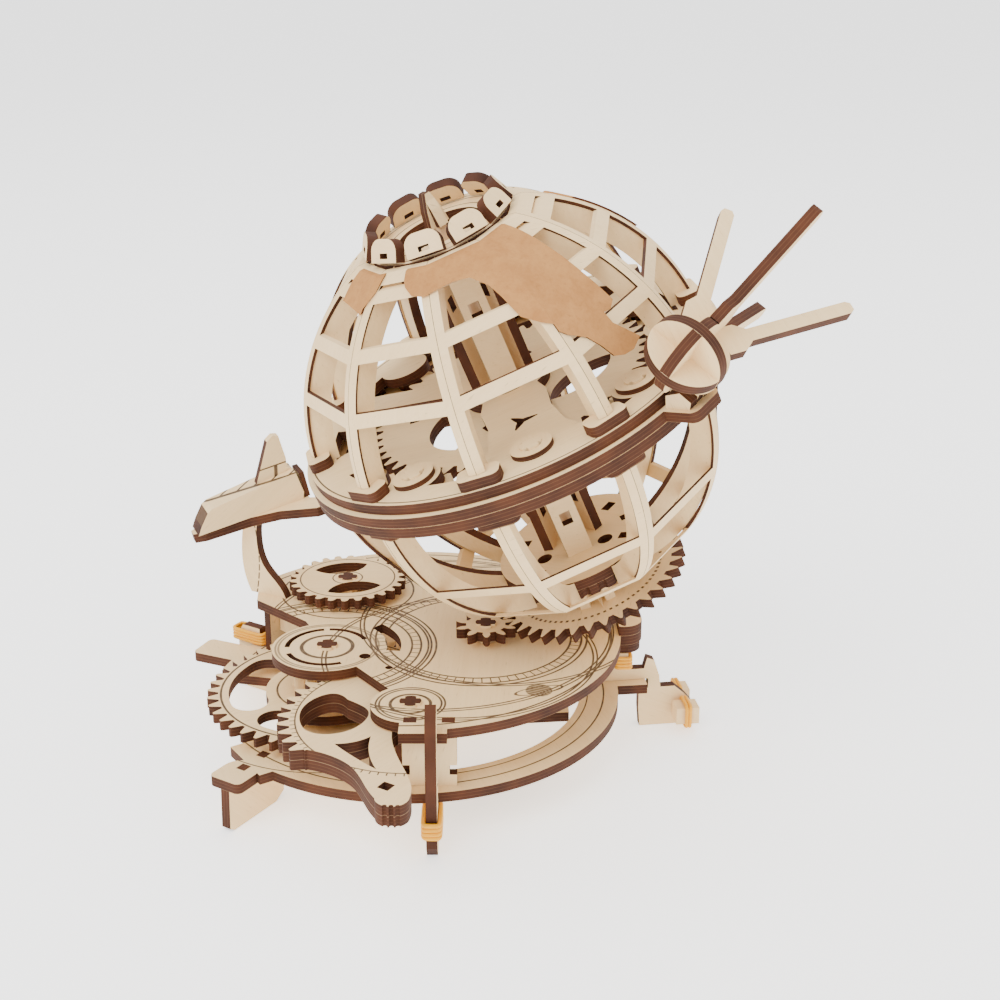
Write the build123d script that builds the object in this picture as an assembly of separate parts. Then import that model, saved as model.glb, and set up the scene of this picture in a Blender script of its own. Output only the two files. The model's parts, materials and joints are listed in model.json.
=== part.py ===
from build123d import *

import os
from math import acos, asin, cos, degrees, hypot, pi, radians, sin, tan

# A tabletop orrery kit cut from thin plywood: a gridded globe turns on a tilted fixed mast, a
# satellite ring runs round its equator, and a two-plate base holds the winding gears.
# Millimetres. While the pieces are made, X is to the right, Y is away from the front, Z is up,
# the table is at Z = 0 and the centre of the round base plate is at X = Y = 0.

# ---------------------------------------------------------------- driving dimensions
PLY = 3.4                # plywood sheet
SHEET = 1.0              # flexible skin sheet of the globe
LAND = 0.6               # printed land sheet on the skin
MODULE = 1.75            # every gear
PRESSURE = 25.0          # gear pressure angle
BACKLASH = 0.22          # taken off each tooth, measured along the pitch circle
RUN = 0.05               # radial clearance of a turning fit
GAP = 0.1                # face clearance between sliding plies

BASE_TOP = 18.0          # top of the base plate
DIAL_TOP = 39.7          # top of the dial plate
BASE_Z = BASE_TOP - PLY
DIAL_Z = DIAL_TOP - PLY
BASE_R = 69.3
DIAL_R = 69.6
GEAR_Z = BASE_TOP + 3.4  # level of the side gear and its two pinions
WINDING_Z = 25.6         # underside of the three-ply winding pinion
LEVER_Z = WINDING_Z + PLY  # underside of the two lever plies
AXLE_R = 3.4             # cross-shaped ply axles
MAST_R = 2.5             # round dowel that carries the globe

GLOBE_R = 66.0           # outside of the skin at the ribs
TILT = 23.1              # lean of the globe axis
LEAN_AZ = 200.0          # direction in which it leans
GLOBE_CENTRE = (33.93, -3.31, DIAL_TOP + 80.98)
NORTH_H = 2.1            # centre of the northern half, along the axis from the globe centre
SOUTH_H = -2.9           # centre of the southern half
RIBS = 10
RIB_AZ = 26.0            # first rib, from the low side of the axis
RIB_OUT = 64.3
RIB_IN = 57.5
STRIP = 2.7              # width of a skin strip beside a seam
BAND = 3.7               # degrees of latitude covered by a skin parallel
LAST_NORTH = 66.0        # latitudes where the skin ends
LAST_SOUTH = 51.5

RING_R = 69.6            # two lower plies of the equator stack
NORTH_R = 67.8           # top ply of the equator stack
SOUTH_PLATE_H = -1.5
RING_H = SOUTH_PLATE_H + PLY + GAP
NORTH_PLATE_H = RING_H + PLY + GAP
NORTH_TOP_H = NORTH_PLATE_H + PLY
SUN_TEETH = 52
PLANET_TEETH = 10
RING_TEETH = SUN_TEETH + 2 * PLANET_TEETH
PLANET_R = MODULE * (SUN_TEETH + PLANET_TEETH) / 2
PLANET_STEP = 360 / (SUN_TEETH + RING_TEETH)
PLANET_AZ = [77.3 + n * PLANET_STEP for n in (-14, 0, 14, 62)]
PILLAR_AZ = [0.0, 157.0, 190.0, 224.0, 291.0, 325.0]

TILTED_TEETH = 36
TILTED_H = -72.04        # underside of the tilted gear
DIAL_PINION_TEETH = 10
DRIVE_TEETH = 16
SIDE_TEETH = 44
MOON_PINION_TEETH = 8
MOON_TEETH = 26
LEVER_TEETH = 45         # full circle of the lever's sector
WINDING_TEETH = 12

CAP_R = 22.2
CAP_H = 59.2
KEY_LEAN = 62.0          # from the axis to the keys' outward faces
DISC_R = 26.3            # toothed disc at the foot of the southern ribs
DISC_H = -53.7
SATELLITE_AZ = 116.0
SATELLITE_RH = (79.5, 20.5)
SATELLITE_R = 12.0
ANTENNA_L = 57.0
ANTENNA_SPLAY = 24.0

# ---------------------------------------------------------------- places worked out from them
GLOBE = Pos(*GLOBE_CENTRE) * Rot(0, 0, LEAN_AZ) * Rot(0, TILT, 0)


def polar(radius, azimuth, origin=(0, 0)):
    """A point at a radius and an azimuth from an origin."""
    a = radians(azimuth)
    return (origin[0] + radius * cos(a), origin[1] + radius * sin(a))


def globe_point(radius, azimuth, height):
    """A point of the globe's own frame, in the base frame."""
    x, y = polar(radius, azimuth)
    return (GLOBE * Pos(x, y, height)).position


TILTED_PITCH_R = MODULE * TILTED_TEETH / 2
MESH = globe_point(TILTED_PITCH_R, 0, TILTED_H + PLY / 2)
DIAL_PINION_Z = MESH.Z - PLY / 2
PINION_XY = polar(MODULE * DIAL_PINION_TEETH / 2, LEAN_AZ, (MESH.X, MESH.Y))
SIDE_MESH_AZ = 185.8     # from the pinion axle to the side gear's axle
SIDE_XY = polar(MODULE * (SIDE_TEETH + DRIVE_TEETH) / 2, SIDE_MESH_AZ, PINION_XY)
MOON_MESH_AZ = 86.2
MOON_XY = polar(MODULE * (SIDE_TEETH + MOON_PINION_TEETH) / 2, MOON_MESH_AZ, SIDE_XY)
LEVER_MESH_AZ = 306.2
LEVER_XY = polar(MODULE * (LEVER_TEETH + WINDING_TEETH) / 2, LEVER_MESH_AZ, SIDE_XY)

parts = {}


def keep(name, shape, place=None):
    """Files a finished piece under its node name, in the base frame."""
    parts[name] = place * shape if place is not None else shape


# ---------------------------------------------------------------- drawing helpers
def ply(sketch, z=0.0, thickness=PLY):
    """A flat outline as one sheet with its underside at z."""
    return Pos(0, 0, z) * extrude(sketch, thickness)


def poly(*points):
    """A closed straight-sided outline."""
    return make_face(Polyline(*points, close=True))


def bar(start, end, width):
    """A straight bar with round ends between two points."""
    dx, dy = end[0] - start[0], end[1] - start[1]
    turn = Rot(0, 0, degrees(Vector(dx, dy, 0).get_signed_angle(Vector(1, 0, 0)) * -pi / 180))
    length = hypot(dx, dy)
    middle = Pos((start[0] + end[0]) / 2, (start[1] + end[1]) / 2)
    ends = Pos(*start) * Circle(width / 2) + Pos(*end) * Circle(width / 2)
    return middle * turn * Rectangle(length, width) + ends


def around(shape, azimuths):
    """Copies of one shape turned about Z, as separate solids."""
    return group(*[Rot(0, 0, a) * shape for a in azimuths])


def group(*shapes):
    """Separate solids filed as one node."""
    return Compound([solid for shape in shapes for solid in shape.solids()])


def cross(radius=AXLE_R):
    """The section of a cross-shaped ply axle."""
    arms = Rectangle(2 * radius, PLY) + Rectangle(PLY, 2 * radius)
    return arms & Circle(radius)


def involute(angle):
    return tan(angle) - angle


def gear_face(teeth, add=0.9, ded=1.2, thin=BACKLASH, phase=0.0):
    """A spur gear outline: one tooth is centred on the phase angle."""
    pitch_r = MODULE * teeth / 2
    base_r = pitch_r * cos(radians(PRESSURE))
    root_r = pitch_r - ded * MODULE
    tip_r = pitch_r + add * MODULE
    half_at_pitch = (pi * MODULE / 2 - thin) / (2 * pitch_r)
    whole = half_at_pitch + involute(radians(PRESSURE))
    radii = [root_r, max(base_r, root_r + 0.3), (pitch_r + tip_r) / 2, tip_r]

    def half_angle(radius):
        if radius <= base_r:
            return whole
        return max(whole - involute(acos(base_r / radius)), 0.004)

    points = []
    for tooth in range(teeth):
        middle = radians(phase) + 2 * pi * tooth / teeth
        rising = [(r, middle - half_angle(r)) for r in radii]
        falling = [(r, middle + half_angle(r)) for r in reversed(radii)]
        points += [(r * cos(a), r * sin(a)) for r, a in rising + falling]
    return poly(*points)


def mating_phase(phase, teeth, direction, mate_teeth):
    """Phase of an outside gear that meshes with another one, in the given direction."""
    turned = ((direction - phase) * teeth / 360) % 1
    return direction + 180 - (0.5 - turned) * 360 / mate_teeth


def lens(length, width):
    """A slim two-arc hole."""
    radius = (length * length / 4 + width * width / 4) / width
    shift = radius - width / 2
    return Pos(0, -shift) * Circle(radius) & Pos(0, shift) * Circle(radius)


def ring_slot(r_in, r_out, start, end):
    """A sector of an annulus between two azimuths."""
    span = 2 * r_out
    middle = (start + end) / 2
    half = (end - start) / 2
    fan = poly((0, 0), polar(span, -half), (span * 1.3, 0), polar(span, half))
    return Rot(0, 0, middle) * (fan & (Circle(r_out) - Circle(r_in)))


def upright(origin, azimuth):
    """A vertical drawing plane: X runs along the azimuth, Y runs up."""
    a = radians(azimuth)
    return Plane(
        origin=(origin[0], origin[1], 0),
        x_dir=(cos(a), sin(a), 0),
        z_dir=(sin(a), -cos(a), 0),
    )


def panel(sketch, origin, azimuth, offset=0.0, thickness=PLY):
    """An upright sheet, centred on the plane unless it is offset."""
    plane = upright(origin, azimuth).offset(offset)
    return plane.location * extrude(sketch, thickness / 2, both=True)


# ---------------------------------------------------------------- base
FRONT_POST_Y = -62.7
FRONT_POST_X = 7.8
BLADE_X = 8.7
LEFT_FOOT_AZ = 57.6
LEFT_ARM_END = (-54.9, -59.9)
REAR_ARM_AZ = 156.5
REAR_ARM_R = 85.3
REAR_BLADE_AZ = 148.0
RIGHT_ARM_AZ = 6.5
RIGHT_ARM_R = 79.5
RIGHT_AZ = 2.0
ARM_W = 12.0
TENON = 3.4
TOE_Y = 6.9
TOE_Z = 7.0
LEFT_TENONS = (8.0, 17.5)


def base_ring():
    """The round lower plate with its web, two openings and three arms."""
    rim = Circle(BASE_R) - Circle(BASE_R - 13)
    cross_band = poly((-90, 90), (-8, 90), (0, 20), (52, 22), (52, -17), (4, -22), (-4, -90), (-90, -90))
    web = Circle(BASE_R - 12) & cross_band
    left = bar((-40, -37), polar(6, LEFT_FOOT_AZ, LEFT_ARM_END), ARM_W)
    left_end = Pos(*polar(3, LEFT_FOOT_AZ, LEFT_ARM_END)) * Rot(0, 0, LEFT_FOOT_AZ)
    left += left_end * RectangleRounded(9, ARM_W, 2)
    rear_middle = Rot(0, 0, REAR_ARM_AZ) * Pos((REAR_ARM_R + 56) / 2, 0)
    rear = rear_middle * RectangleRounded(REAR_ARM_R - 56, ARM_W, 2)
    right = Rot(0, 0, RIGHT_ARM_AZ) * Pos((RIGHT_ARM_R + 60) / 2, 0) * Rectangle(RIGHT_ARM_R - 60, ARM_W)
    cut = poly((-95, 14), (-66, 14), (-61.4, 10.2), (-50.4, 7.9), (-41, 0), (-38, -12), (-40.5, -27),
               (-48.6, -40), (-62, -61.5), (-95, -61.5))
    sketch = rim + web - cut + left + rear + right
    for along in LEFT_TENONS:
        slot = Pos(*polar(along, LEFT_FOOT_AZ, LEFT_ARM_END)) * Rot(0, 0, LEFT_FOOT_AZ)
        sketch -= slot * Rectangle(TENON, TENON)
    for hole in (PINION_XY, MOON_XY):
        sketch -= Pos(*hole) * Circle(AXLE_R + RUN)
    for hole in (SIDE_XY, LEVER_XY):
        sketch -= Pos(*hole) * cross()
    sketch -= blade_slots()
    return ply(sketch, BASE_Z)


def blade_slots():
    """Notches in the plates' rims for the two upright blades."""
    front = Pos(BLADE_X, -BASE_R) * Rectangle(PLY, 6)
    rear = Rot(0, 0, REAR_BLADE_AZ) * Pos(BASE_R, 0) * Rectangle(6, PLY)
    return front + rear


def dial_outline():
    """The upper plate: a disc cut away at the left, with two round lobes and a right tongue."""
    disc = Circle(DIAL_R)
    away = poly((-57.2, 39.8), (-56.1, 25.4), (-37, 7.6), SIDE_XY, LEVER_XY, (LEVER_XY[0] - 3, -90),
                (-90, -90), (-90, 39.8))
    side = Pos(*SIDE_XY) * Circle(18.2)
    front = Pos(*LEVER_XY) * Circle(12.4)
    tab = Pos(LEVER_XY[0] + 4.5, -65.5) * Rectangle(14.5, 11.5)
    tongue = Rot(0, 0, RIGHT_AZ) * (Pos(66, 0) * Rectangle(9, 13) + Pos(70.5, 0) * Circle(6.5))
    return disc - away + side + front + tab + tongue


def dial_plate():
    """The dial with its bores, the slotted disc, the window and the notches."""
    sketch = dial_outline()
    for hole in (PINION_XY, MOON_XY):
        sketch -= Pos(*hole) * Circle(AXLE_R + RUN)
    for hole in (SIDE_XY, LEVER_XY):
        sketch -= Pos(*hole) * cross()
    for start, end in ((100, 182), (25, 92), (203, 295)):
        sketch -= Pos(*SIDE_XY) * ring_slot(12.4, 14.1, start, end)
    sketch -= Pos(*SIDE_XY) * ring_slot(19.8, 24.4, -8, 46)
    sketch -= Pos(*polar(14.8, 331, SIDE_XY)) * Circle(1.9)
    sketch -= Pos(*polar(26.3, 324, SIDE_XY)) * Circle(1.2)
    sketch -= Pos(BLADE_X, -72) * Rectangle(PLY, 8)
    for side in (-1, 1):
        sketch -= Pos(FRONT_POST_X + side * 5.8, FRONT_POST_Y) * Rectangle(4, PLY)
    return ply(sketch, DIAL_Z)


def post_profile(width, foot, top_tenons=()):
    """An upright post between the plates, notched on both sides at its foot."""
    height = DIAL_Z - BASE_TOP
    sketch = Pos(0, height / 2) * Rectangle(width, height)
    for side in (-1, 1):
        sketch -= Pos(side * width / 2, foot) * Rectangle(4.5, 3.2)
    for x in top_tenons:
        sketch += Pos(x, height + PLY / 2) * Rectangle(4, PLY)
    return Pos(0, BASE_TOP) * sketch


def front_blade_profile():
    """Outline of the front foot blade, from the table to above the dial; X runs to the front."""
    outer = [(66.4, 0), (74.5, 0), (77.6, 4), (78.3, 14), (78.3, 34), (76.4, 46), (72.5, 50)]
    inner = [(69.5, 47), (69.2, DIAL_TOP), (75.3, DIAL_TOP), (75.3, DIAL_Z), (72.4, DIAL_Z - 2),
             (72.4, BASE_TOP + 4), (66.4, BASE_TOP + 2), (66.4, BASE_TOP), (BASE_R, BASE_TOP),
             (BASE_R, BASE_Z), (66.4, BASE_Z)]
    return poly(*outer, *inner)


def rear_blade_profile():
    """Outline of the short rear-left foot blade."""
    outer = [(64.5, 0), (73.5, 0), (76.3, 4), (76.3, 21), (74, 24.5), (66.4, 24.5)]
    inner = [(66.4, BASE_TOP), (BASE_R, BASE_TOP), (BASE_R, BASE_Z), (64.5, BASE_Z)]
    return poly(*outer, *inner)


def left_foot_profile():
    """Outline of the left foot: flat below, with two tenons; X runs inward from the arm's end."""
    body = poly((-1.5, 1.2), (0.5, 0), (5, 0), (20.5, 0), (24.5, 2.5), (24.5, BASE_Z), (-1, BASE_Z))
    for along in LEFT_TENONS:
        body += Pos(along, BASE_Z + PLY / 2) * Rectangle(TENON, PLY)
    return body


def band(length, width, height, thickness=1.5):
    """A stretched rubber band as a rounded loop."""
    outer = RectangleRounded(length + 2 * thickness, width + 2 * thickness, 1.6)
    return extrude(outer - Rectangle(length, width), height)


def right_bracket_profile():
    """The right-hand bracket: a hook under the dial, a leg down to the table and a toe."""
    return poly(
        (-12.5, 21), (-12.5, 24.5), (-9.5, 26.5), (-8, 23), (-6.5, 22), (1, 22), (2, 26), (4.5, 25),
        (6.5, 19), (7, 14.6), (12, 14.6), (15.5, 11.5), (18.5, 8), (19.5, 3.5), (18.4, 0), (0, 0),
        (-0.6, 7.2), (-0.6, BASE_Z - 0.1), (2.6, BASE_Z - 0.1), (2.6, BASE_TOP + 0.1),
        (-12.5, BASE_TOP + 0.1),
    )


def right_support():
    """Bracket, cap plies, post and toe block at the right-hand side."""
    origin = polar(78.0, RIGHT_ARM_AZ)
    keep("right_bracket", panel(right_bracket_profile(), origin, 8))
    frame = Rot(0, 0, RIGHT_AZ)
    cap = Pos(69.0, 0) * Rectangle(3, 12.4) + Pos(70.5, 0) * Circle(6.5) & Pos(81.2, 0) * Rectangle(25, 20)
    under = Pos(68.5, 0) * Rectangle(7, 11) + Pos(71, 0) * Circle(5.5)
    keep("right_cap_plates", frame * group(ply(cap, DIAL_TOP), ply(under, DIAL_Z - PLY)))
    toe = Location(origin, (0, 0, 8))
    blocks = [toe * Pos(15, side * TOE_Y, TOE_Z) * Box(8, 6.8, 6) for side in (-1, 1)]
    upper = DIAL_Z - PLY - BASE_TOP
    post = Box(PLY, PLY, upper - 9)
    posts = [frame * Pos(70.4, side * 4.6, BASE_TOP + upper / 2 + 4.5) * post for side in (-1, 1)]
    keep("right_blocks", group(*blocks, *posts))


def base_parts():
    """Every fixed piece of the base."""
    keep("base_ring", base_ring())
    keep("dial_plate", dial_plate())
    front = panel(front_blade_profile(), (BLADE_X, 0), -90)
    rear = panel(rear_blade_profile(), (0, 0), REAR_BLADE_AZ)
    keep("foot_blades", group(front, rear))
    keep("left_foot", panel(left_foot_profile(), LEFT_ARM_END, LEFT_FOOT_AZ))
    right_support()
    axle = ply(cross(), BASE_Z, DIAL_TOP + 1.0 - BASE_Z)
    keep("fixed_axles", group(Pos(*SIDE_XY) * axle, Pos(*LEVER_XY) * axle))
    spacer = ply(Circle(6.8) - Circle(AXLE_R + RUN), BASE_TOP, LEVER_Z - GAP - BASE_TOP)
    keep("lever_spacer", spacer, Pos(*LEVER_XY))
    plate_posts()
    rubber_bands()


def plate_posts():
    """The upright posts between the two plates, and the housing under the dial's left corner."""
    height = DIAL_Z - BASE_TOP
    front = panel(post_profile(16.6, 5.5, (-5.8, 5.8)), (FRONT_POST_X, FRONT_POST_Y), 0)
    post = Pos(0, BASE_TOP + height / 2) * Rectangle(14, height)
    keep("plate_posts", group(front, panel(post, (30, 58.5), -27), panel(post, (57, 33), -60)))
    clear = GEAR_Z + PLY + 0.6
    beam = Pos(0, (clear + DIAL_Z) / 2) * Rectangle(21.5, DIAL_Z - clear)
    beam -= Pos(4, (clear + DIAL_Z) / 2) * Rectangle(6, 4.5)
    side = Pos(0, BASE_TOP + height / 2) * Rectangle(11, height)
    keep("box_panels", group(panel(beam, (-40.5, 24.9), -45), panel(side, (-49.6, 33.6), 45)))


def rubber_bands():
    """The stretched bands that clamp the blades, the right posts and the toe blocks."""
    front = Pos(BLADE_X, -72.5, 8.2) * band(3.6, 12.6, 5.6)
    rear = Rot(0, 0, REAR_BLADE_AZ) * Pos(71.4, 0, BASE_TOP + 0.6) * band(11.6, 3.6, 4.6)
    posts = Rot(0, 0, RIGHT_AZ) * Pos(70.4, 0, BASE_TOP + 9.6) * band(3.6, 12.8, 4.5)
    toe = Location(polar(78.0, RIGHT_ARM_AZ), (0, 0, 8))
    loops = [toe * Pos(13.8, side * TOE_Y, TOE_Z) * Rot(0, 90, 0) * band(6.2, 7.0, 2.4) for side in (-1, 1)]
    keep("rubber_bands", group(front, rear, posts, *loops))


# ---------------------------------------------------------------- base gears
SIDE_PHASE = 3.0
DRIVE_PHASE = mating_phase(SIDE_PHASE, SIDE_TEETH, SIDE_MESH_AZ - 180, DRIVE_TEETH)
MOON_PINION_PHASE = mating_phase(SIDE_PHASE, SIDE_TEETH, MOON_MESH_AZ, MOON_PINION_TEETH)
WINDING_PHASE = 0.0
LEVER_PHASE = mating_phase(WINDING_PHASE, WINDING_TEETH, LEVER_MESH_AZ, LEVER_TEETH)
DIAL_PINION_PHASE = LEAN_AZ - 180
MOON_R = 20.5


def side_gear():
    """The big horizontal gear at the left, with four rounded windows between its rim and hub."""
    sketch = gear_face(SIDE_TEETH, phase=SIDE_PHASE)
    for spoke in (40, 130, 220, 310):
        sketch -= ring_slot(20.8, 33.0, spoke + 16, spoke + 74)
        for azimuth in (spoke + 17, spoke + 73):
            sketch -= Pos(*polar(26.9, azimuth)) * Circle(6.1)
    return sketch - Circle(AXLE_R + RUN)


def moon_wheel():
    """The crescent wheel above the dial: two lens windows beside a curved spoke."""
    teeth = MOON_TEETH
    points = []
    for tooth in range(teeth):
        a = 360 * tooth / teeth
        step = 360 / teeth
        points += [polar(MOON_R - 2.4, a), polar(MOON_R - 2.4, a + 0.3 * step),
                   polar(MOON_R - 0.3, a + 0.42 * step), polar(MOON_R, a + 0.62 * step),
                   polar(MOON_R - 0.5, a + 0.82 * step)]
    sketch = poly(*points)
    for side in (-1, 1):
        hole = Pos(0, side * 14.5) * Circle(10.5) & Pos(0, side * -1.2) * Circle(14.8)
        sketch -= Rot(0, 0, 18) * hole
    return sketch - cross()


def lever_outline():
    """The winding lever about its pivot: a toothed sector, a heart-shaped hole and a grip."""
    sector = gear_face(LEVER_TEETH, phase=LEVER_PHASE)
    keep_fan = poly((0, 0), polar(60, 112), polar(62, 140), polar(62, 170), polar(62, 200), polar(60, 216))
    arm = make_face(
        Spline(polar(36.6, 216), polar(33.4, 232), polar(35, 243), polar(43.0, 255), polar(49.5, 261))
        + ThreePointArc(polar(49.5, 261), polar(53.6, 267), polar(49.0, 272.5))
        + Spline(polar(49.0, 272.5), polar(42, 273), polar(31.2, 268.5), polar(22.5, 261), polar(10, 240))
        + Polyline(polar(10, 240), (0, 0), polar(36.6, 216))
    )
    return (sector & keep_fan) + arm + Circle(7.3) - Circle(AXLE_R + RUN)


def lever_holes():
    """The heart, the three-cusped hole and the square hole of the lever."""
    heart = make_face(
        Spline(polar(33, 196), polar(34.2, 180), polar(33.2, 164), polar(29.4, 151), polar(22.8, 153))
        + Spline(polar(22.8, 153), polar(18.6, 156), polar(13.6, 168), polar(15.5, 200),
                 polar(21.5, 208.5), polar(27.8, 206), polar(33, 196))
    )
    cusp = make_face(
        ThreePointArc(polar(28.3, 219.5), polar(23.2, 226.5), polar(17.5, 230))
        + ThreePointArc(polar(17.5, 230), polar(24.8, 243.0), polar(34.1, 256))
        + ThreePointArc(polar(34.1, 256), polar(30.0, 239), polar(28.3, 219.5))
    )
    square = Pos(*polar(42.8, 263.5)) * Rot(0, 0, -32) * Rectangle(3.8, 3.8)
    return heart + cusp + square


def serrations():
    """Grooves round the grip's end."""
    notches = [Pos(*polar(53.3, a)) * Circle(0.7) for a in range(257, 276, 2)]
    return sum(notches[1:], notches[0])


def gear_parts():
    """The turning pieces of the base."""
    side = ply(side_gear(), GEAR_Z)
    keep("side_gear", side, Pos(*SIDE_XY))
    hub = ply(Circle(13.5) - Circle(AXLE_R + RUN), GEAR_Z - PLY + 0.3, PLY - 0.3)
    keep("side_gear_hub", hub, Pos(*SIDE_XY))
    outline = lever_outline() - lever_holes() - serrations()
    for index, name in enumerate(("lever_lower_ply", "lever_upper_ply")):
        keep(name, ply(outline, LEVER_Z + index * PLY), Pos(*LEVER_XY))
    winding = gear_face(WINDING_TEETH, phase=WINDING_PHASE) - Circle(AXLE_R + RUN)
    keep("winding_pinion", ply(winding, WINDING_Z, 3 * PLY), Pos(*SIDE_XY))
    drive = gear_face(DRIVE_TEETH, phase=DRIVE_PHASE) - cross()
    keep("drive_gear", ply(drive, GEAR_Z), Pos(*PINION_XY))
    pinion = gear_face(DIAL_PINION_TEETH, add=0.82, ded=1.25, thin=0.45, phase=DIAL_PINION_PHASE) - cross()
    keep("dial_pinion", ply(pinion, DIAL_PINION_Z), Pos(*PINION_XY))
    keep("drive_axle", ply(cross(), BASE_Z, DIAL_PINION_Z + PLY + 0.8 - BASE_Z), Pos(*PINION_XY))
    moon_pinion = gear_face(MOON_PINION_TEETH, add=0.8, ded=1.3, thin=0.5, phase=MOON_PINION_PHASE)
    moon_pinion -= cross(AXLE_R)
    keep("moon_pinion", ply(moon_pinion, GEAR_Z), Pos(*MOON_XY))
    keep("moon_wheel", ply(moon_wheel(), DIAL_TOP + 1.7), Pos(*MOON_XY))
    keep("moon_axle", ply(cross(), BASE_Z, DIAL_TOP + 1.7 + PLY + 0.5 - BASE_Z), Pos(*MOON_XY))


# ---------------------------------------------------------------- mast
WEDGE_H = TILTED_H - GAP - PLY
MAST_FOOT = 86.0
MAST_TOP = 64.0


def mast_parts():
    """The fixed dowel, its collar and the two wedges that hold it on the dial."""
    keep("mast", Pos(0, 0, -MAST_FOOT) * extrude(Circle(MAST_R), MAST_FOOT + MAST_TOP), GLOBE)
    keep("mast_collar", ply(Circle(7.5) - Circle(MAST_R), WEDGE_H), GLOBE)
    foot = globe_point(0, 0, WEDGE_H)
    rise = tan(radians(TILT))
    low, high = -9.0, 3.4
    high_top = foot.Z + high * rise - 0.1
    low_top = foot.Z + low * rise - 0.1
    wedge = poly((low, DIAL_TOP), (high, DIAL_TOP), (high, high_top), (low, low_top))
    wedges = [panel(wedge, (foot.X, foot.Y), LEAN_AZ - 180, offset) for offset in (-4.3, 4.3)]
    keep("axis_wedges", group(*wedges))
    fin = poly((-3.6, 0), (3.6, 0), (2.6, 5.5), (0.9, 10.6), (-0.9, 10.6), (-2.6, 5.5))
    blade = Rot(90, 0, 0) * extrude(fin, PLY / 2, both=True)
    halves = Rot(0, 0, 90) * blade - Box(PLY, PLY, 40)
    keep("pole_finial", Pos(0, 0, MAST_TOP) * group(Rot(0, 0, 20) * blade, Rot(0, 0, 20) * halves), GLOBE)
    sun = gear_face(SUN_TEETH) - Circle(MAST_R)
    for k in range(6):
        sun -= Rot(0, 0, 60 * k + 17) * Pos(25.5, 0) * Rot(0, 0, 62) * lens(27, 13)
    keep("sun_gear", ply(sun, RING_H), GLOBE)


# ---------------------------------------------------------------- equator stack
def rib_azimuths():
    return [RIB_AZ + 360 / RIBS * k for k in range(RIBS)]


def carrier(outer, front_width):
    """A carrier plate: a rim, lobes for the planets and pillars, three spokes and a hub."""
    sketch = Circle(outer) - Circle(58.5)
    for azimuth in PLANET_AZ + PILLAR_AZ:
        sketch += Pos(*polar(PLANET_R, azimuth)) * Circle(8.2)
    front = poly((6, -8), (18, -front_width * 0.32), (30, -front_width * 0.30), (44, -front_width * 0.36),
                 (60, -front_width * 0.62), (60, front_width * 0.62), (44, front_width * 0.36),
                 (30, front_width * 0.30), (18, front_width * 0.32), (6, 8))
    sketch += Rot(0, 0, PLANET_AZ[1]) * front
    for azimuth in (197, 317):
        sketch += Rot(0, 0, azimuth) * Pos(32, 0) * Rectangle(56, 10)
    sketch += Circle(14)
    for azimuth in PLANET_AZ:
        sketch -= Pos(*polar(PLANET_R, azimuth)) * Circle(AXLE_R + RUN)
    return sketch - Circle(MAST_R + RUN)


def cusped_hole(radius):
    """A small three-cusped opening."""
    points = []
    for k in range(3):
        tip = 90 + 120 * k
        points += [polar(radius, tip - 3), polar(radius, tip + 3)]
        points += [polar(radius * 0.46, tip + 26), polar(radius * 0.28, tip + 60)]
        points.append(polar(radius * 0.46, tip + 94))
    return poly(*points)


def equator_parts():
    """The two carrier plates, their pillars, the planets and their washers."""
    keep("south_plate", ply(carrier(RING_R, 26), SOUTH_PLATE_H), GLOBE)
    north = carrier(NORTH_R, 34)
    north -= Pos(*polar(33.5, PLANET_AZ[1])) * Rot(0, 0, PLANET_AZ[1]) * cusped_hole(5.2)
    keep("north_plate", ply(north, NORTH_PLATE_H), GLOBE)
    pillar = Pos(PLANET_R, 0, NORTH_PLATE_H - PLY - 2 * GAP) * extrude(Circle(4.5), PLY + 2 * GAP)
    keep("plate_pillars", around(pillar, PILLAR_AZ), GLOBE)
    washer = Pos(PLANET_R, 0, NORTH_TOP_H) * extrude(Circle(6.5) - Circle(AXLE_R + RUN), 1.6)
    keep("bearing_washers", around(washer, PLANET_AZ), GLOBE)
    for index, azimuth in enumerate(PLANET_AZ):
        place = GLOBE * Pos(*polar(PLANET_R, azimuth))
        phase = mating_phase(0, SUN_TEETH, azimuth, PLANET_TEETH)
        gear = gear_face(PLANET_TEETH, add=0.85, ded=1.2, thin=0.35, phase=phase) - cross()
        axle = ply(cross(), SOUTH_PLATE_H, NORTH_TOP_H + 2.2 - SOUTH_PLATE_H)
        keep(f"planet_gear_{index + 1}", place * group(ply(gear, RING_H), axle))


def ring_phase():
    """Phase of the satellite ring's tooth spaces, so that every planet meshes."""
    azimuth = PLANET_AZ[0]
    return (azimuth * (SUN_TEETH + RING_TEETH) / 360 - 0.5) * 360 / RING_TEETH


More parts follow.
